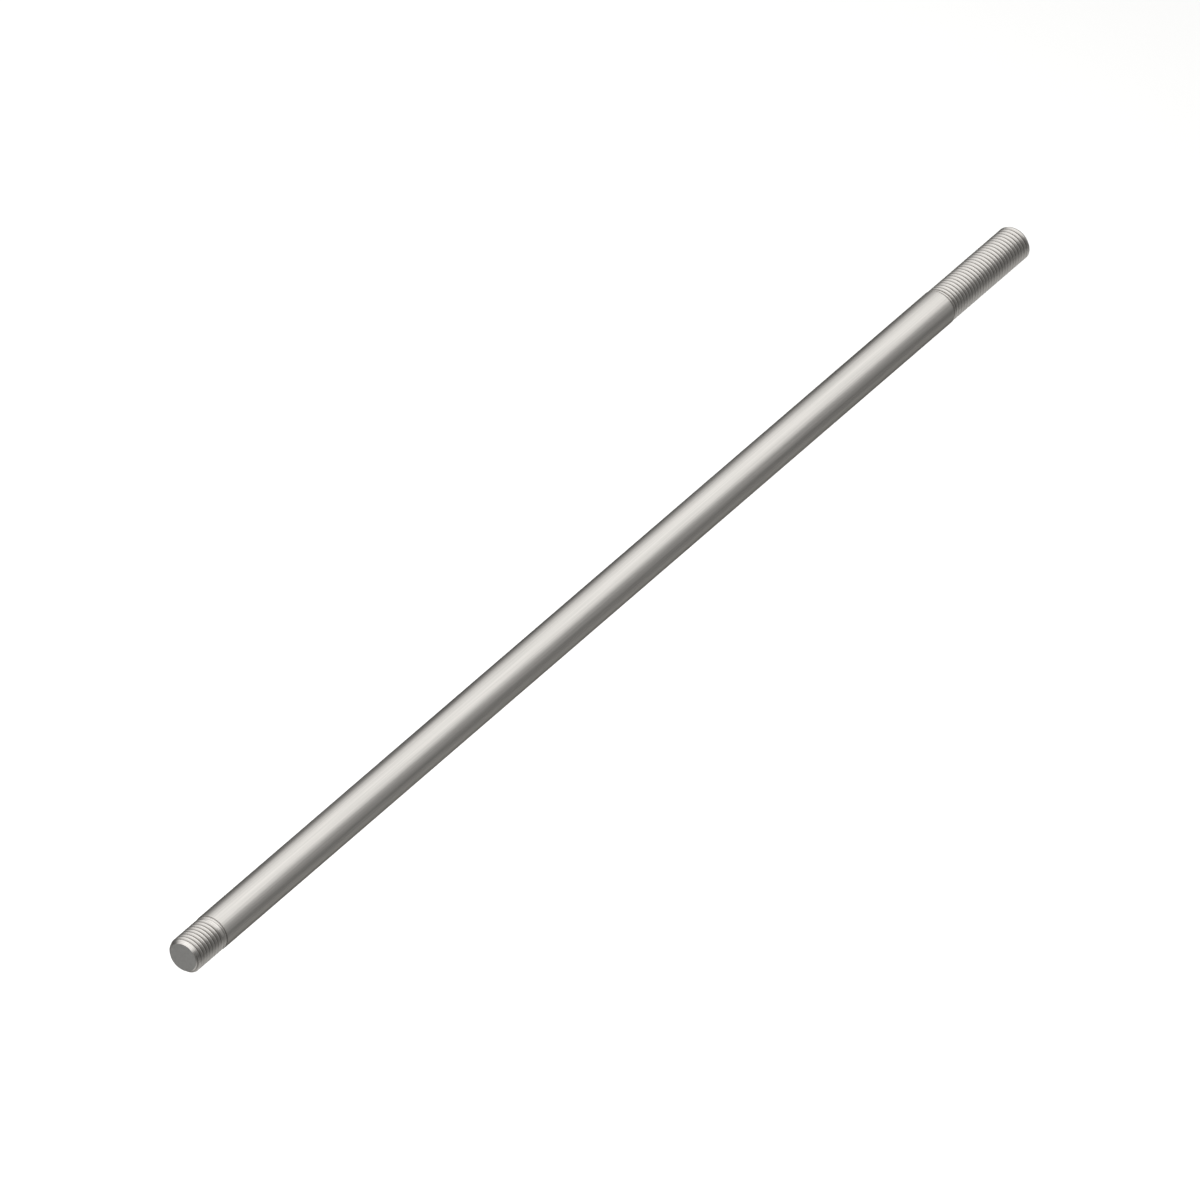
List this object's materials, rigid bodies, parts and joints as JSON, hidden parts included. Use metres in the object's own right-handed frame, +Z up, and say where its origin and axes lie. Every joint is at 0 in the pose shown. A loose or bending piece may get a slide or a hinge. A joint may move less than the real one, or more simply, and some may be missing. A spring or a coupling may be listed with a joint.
{
  "type": "threaded stud",
  "caption": "Long double-end stud of round steel bar: a plain shank, a short thread at the tap end and a long thread at the nut end, both chamfered.",
  "frame": {"origin": "on the stud's axis at the shoulder of the short threaded end, where the stud seats", "axes": "+X along the stud's axis, from the short tap end towards the long nut end; +Z up, so the stud lies level"},
  "size_m": [0.6, 0.016, 0.016],
  "materials": {
    "steel": "satin"
  },
  "bodies": {
    "root": {"stud": "steel"}
  },
  "joints": []
}
